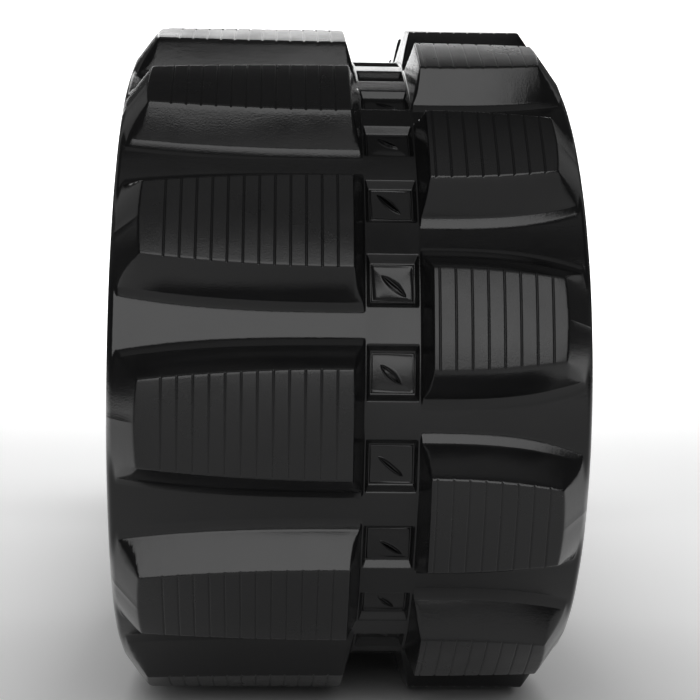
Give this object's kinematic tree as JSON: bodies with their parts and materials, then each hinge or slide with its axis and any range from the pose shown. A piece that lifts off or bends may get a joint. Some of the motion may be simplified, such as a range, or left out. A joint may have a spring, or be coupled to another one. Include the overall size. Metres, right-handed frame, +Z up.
{
  "type": "rubber track",
  "caption": "Endless rubber crawler track with staggered block lugs, an offset row of drive windows, guide horns, steel cores and steel cord ply; the loop flexes at its bends.",
  "frame": {"origin": "on the ground plane under the middle of the loop, midway across the belt", "axes": "+Y along the loop, +X across the belt towards the narrow lugs and the drive windows, +Z up; the front end is at -Y"},
  "size_m": [0.3, 2.0738, 0.4899],
  "materials": {
    "track_rubber": "satin moulded black rubber",
    "window_rubber": "glossy thin moulded black rubber",
    "core_steel": "forged steel, as forged",
    "cord_steel": "brass-coated steel cord"
  },
  "bodies": {
    "front_lower_bend": {"belt_front_lower_bend": "track_rubber", "window_skins_front_lower_bend": "window_rubber", "tread_lugs_front_lower_bend": "track_rubber", "guide_horns_front_lower_bend": "track_rubber", "steel_cores_front_lower_bend": "core_steel", "steel_cord_ply_front_lower_bend": "cord_steel"},
    "front_tip": {"belt_front_tip": "track_rubber", "window_skins_front_tip": "window_rubber", "tread_lugs_front_tip": "track_rubber", "guide_horns_front_tip": "track_rubber", "steel_cores_front_tip": "core_steel", "steel_cord_ply_front_tip": "cord_steel"},
    "front_upper_bend": {"belt_front_upper_bend": "track_rubber", "window_skins_front_upper_bend": "window_rubber", "tread_lugs_front_upper_bend": "track_rubber", "guide_horns_front_upper_bend": "track_rubber", "steel_cores_front_upper_bend": "core_steel", "steel_cord_ply_front_upper_bend": "cord_steel"},
    "top_front_run": {"belt_top_front_run": "track_rubber", "window_skins_top_front_run": "window_rubber", "tread_lugs_top_front_run": "track_rubber", "guide_horns_top_front_run": "track_rubber", "steel_cores_top_front_run": "core_steel", "steel_cord_ply_top_front_run": "cord_steel"},
    "top_rear_run": {"belt_top_rear_run": "track_rubber", "window_skins_top_rear_run": "window_rubber", "tread_lugs_top_rear_run": "track_rubber", "guide_horns_top_rear_run": "track_rubber", "steel_cores_top_rear_run": "core_steel", "steel_cord_ply_top_rear_run": "cord_steel"},
    "rear_upper_bend": {"belt_rear_upper_bend": "track_rubber", "window_skins_rear_upper_bend": "window_rubber", "tread_lugs_rear_upper_bend": "track_rubber", "guide_horns_rear_upper_bend": "track_rubber", "steel_cores_rear_upper_bend": "core_steel", "steel_cord_ply_rear_upper_bend": "cord_steel"},
    "rear_tip": {"belt_rear_tip": "track_rubber", "window_skins_rear_tip": "window_rubber", "tread_lugs_rear_tip": "track_rubber", "guide_horns_rear_tip": "track_rubber", "steel_cores_rear_tip": "core_steel", "steel_cord_ply_rear_tip": "cord_steel"},
    "rear_lower_bend": {"belt_rear_lower_bend": "track_rubber", "window_skins_rear_lower_bend": "window_rubber", "tread_lugs_rear_lower_bend": "track_rubber", "guide_horns_rear_lower_bend": "track_rubber", "steel_cores_rear_lower_bend": "core_steel", "steel_cord_ply_rear_lower_bend": "cord_steel"},
    "bottom_run": {"belt_bottom_run": "track_rubber", "window_skins_bottom_run": "window_rubber", "tread_lugs_bottom_run": "track_rubber", "guide_horns_bottom_run": "track_rubber", "steel_cores_bottom_run": "core_steel", "steel_cord_ply_bottom_run": "cord_steel"}
  },
  "joints": [
    {"name": "front_lower_flex", "type": "hinge", "parent": "bottom_run", "child": "front_lower_bend", "pos_m": [0, -0.777, 0.0353], "axis": [1, 0, 0], "range_deg": [-5, 5], "stiffness_Nm_per_rad": 500, "springref_deg": -4.25},
    {"name": "front_tip_lower_flex", "type": "hinge", "parent": "front_lower_bend", "child": "front_tip", "pos_m": [0, -0.97149, 0.12425], "axis": [1, 0, 0], "range_deg": [-5, 5], "stiffness_Nm_per_rad": 500, "springref_deg": 4.25},
    {"name": "front_tip_upper_flex", "type": "hinge", "parent": "front_tip", "child": "front_upper_bend", "pos_m": [0, -0.96411, 0.33302], "axis": [1, 0, 0], "range_deg": [-3.7, 3.7], "stiffness_Nm_per_rad": 500, "springref_deg": 3.11},
    {"name": "front_upper_flex", "type": "hinge", "parent": "front_upper_bend", "child": "top_front_run", "pos_m": [0, -0.66599, 0.45459], "axis": [1, 0, 0], "range_deg": [-3.7, 3.7], "stiffness_Nm_per_rad": 500, "springref_deg": -3.11},
    {"name": "rear_lower_flex", "type": "hinge", "parent": "bottom_run", "child": "rear_lower_bend", "pos_m": [0, 0.77703, 0.0353], "axis": [1, 0, 0], "range_deg": [-5, 5], "stiffness_Nm_per_rad": 500, "springref_deg": 4.25},
    {"name": "rear_tip_lower_flex", "type": "hinge", "parent": "rear_lower_bend", "child": "rear_tip", "pos_m": [0, 0.97152, 0.12425], "axis": [1, 0, 0], "range_deg": [-5, 5], "stiffness_Nm_per_rad": 500, "springref_deg": -4.25},
    {"name": "rear_tip_upper_flex", "type": "hinge", "parent": "rear_tip", "child": "rear_upper_bend", "pos_m": [0, 0.96414, 0.33302], "axis": [1, 0, 0], "range_deg": [-3.7, 3.7], "stiffness_Nm_per_rad": 500, "springref_deg": -3.11},
    {"name": "rear_upper_flex", "type": "hinge", "parent": "rear_upper_bend", "child": "top_rear_run", "pos_m": [0, 0.66602, 0.45459], "axis": [1, 0, 0], "range_deg": [-3.7, 3.7], "stiffness_Nm_per_rad": 500, "springref_deg": 3.11}
  ],
  "couplings": [
    {"joint": "front_tip_lower_flex", "follows": "front_lower_flex", "ratio": -1},
    {"joint": "front_tip_upper_flex", "follows": "front_lower_flex", "ratio": -0.7317},
    {"joint": "front_upper_flex", "follows": "front_lower_flex", "ratio": 0.7317},
    {"joint": "rear_lower_flex", "follows": "front_lower_flex", "ratio": -1},
    {"joint": "rear_tip_lower_flex", "follows": "front_lower_flex", "ratio": 1},
    {"joint": "rear_tip_upper_flex", "follows": "front_lower_flex", "ratio": 0.7317},
    {"joint": "rear_upper_flex", "follows": "front_lower_flex", "ratio": -0.7317}
  ]
}
